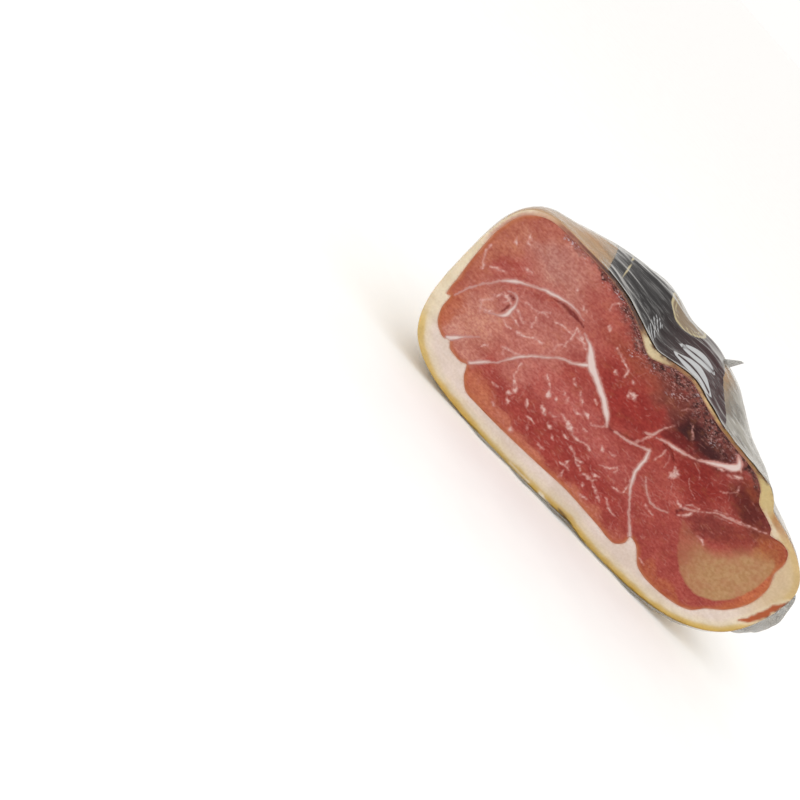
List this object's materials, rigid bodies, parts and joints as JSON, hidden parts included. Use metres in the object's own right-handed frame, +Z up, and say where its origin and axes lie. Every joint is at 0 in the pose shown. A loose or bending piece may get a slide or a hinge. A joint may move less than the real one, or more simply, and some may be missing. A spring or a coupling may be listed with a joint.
{
  "type": "dry-cured ham half",
  "caption": "Half of a boneless dry-cured ham, cut lengthwise: marbled lean meat in a thick fat cover, still held in its tight clear and printed film.",
  "frame": {"origin": "middle of the floor under the half ham, which stands on its rind side", "axes": "+X towards the narrow shank end, the cut face looks along -Y, +Z up to the label side"},
  "size_m": [0.335, 0.12, 0.1541],
  "materials": {
    "lean": "moist cut cured meat, dark red with pale seams of fat and a dried brown edge",
    "fat": "soft waxy fat, pinkish white inside and yellow towards the rind",
    "film": "thin glossy shrink film, clear at the ends with a dark printed field on the label side"
  },
  "bodies": {
    "root": {"lean_meat": "lean", "fat_cover": "fat", "bag_film": "film"}
  },
  "joints": []
}
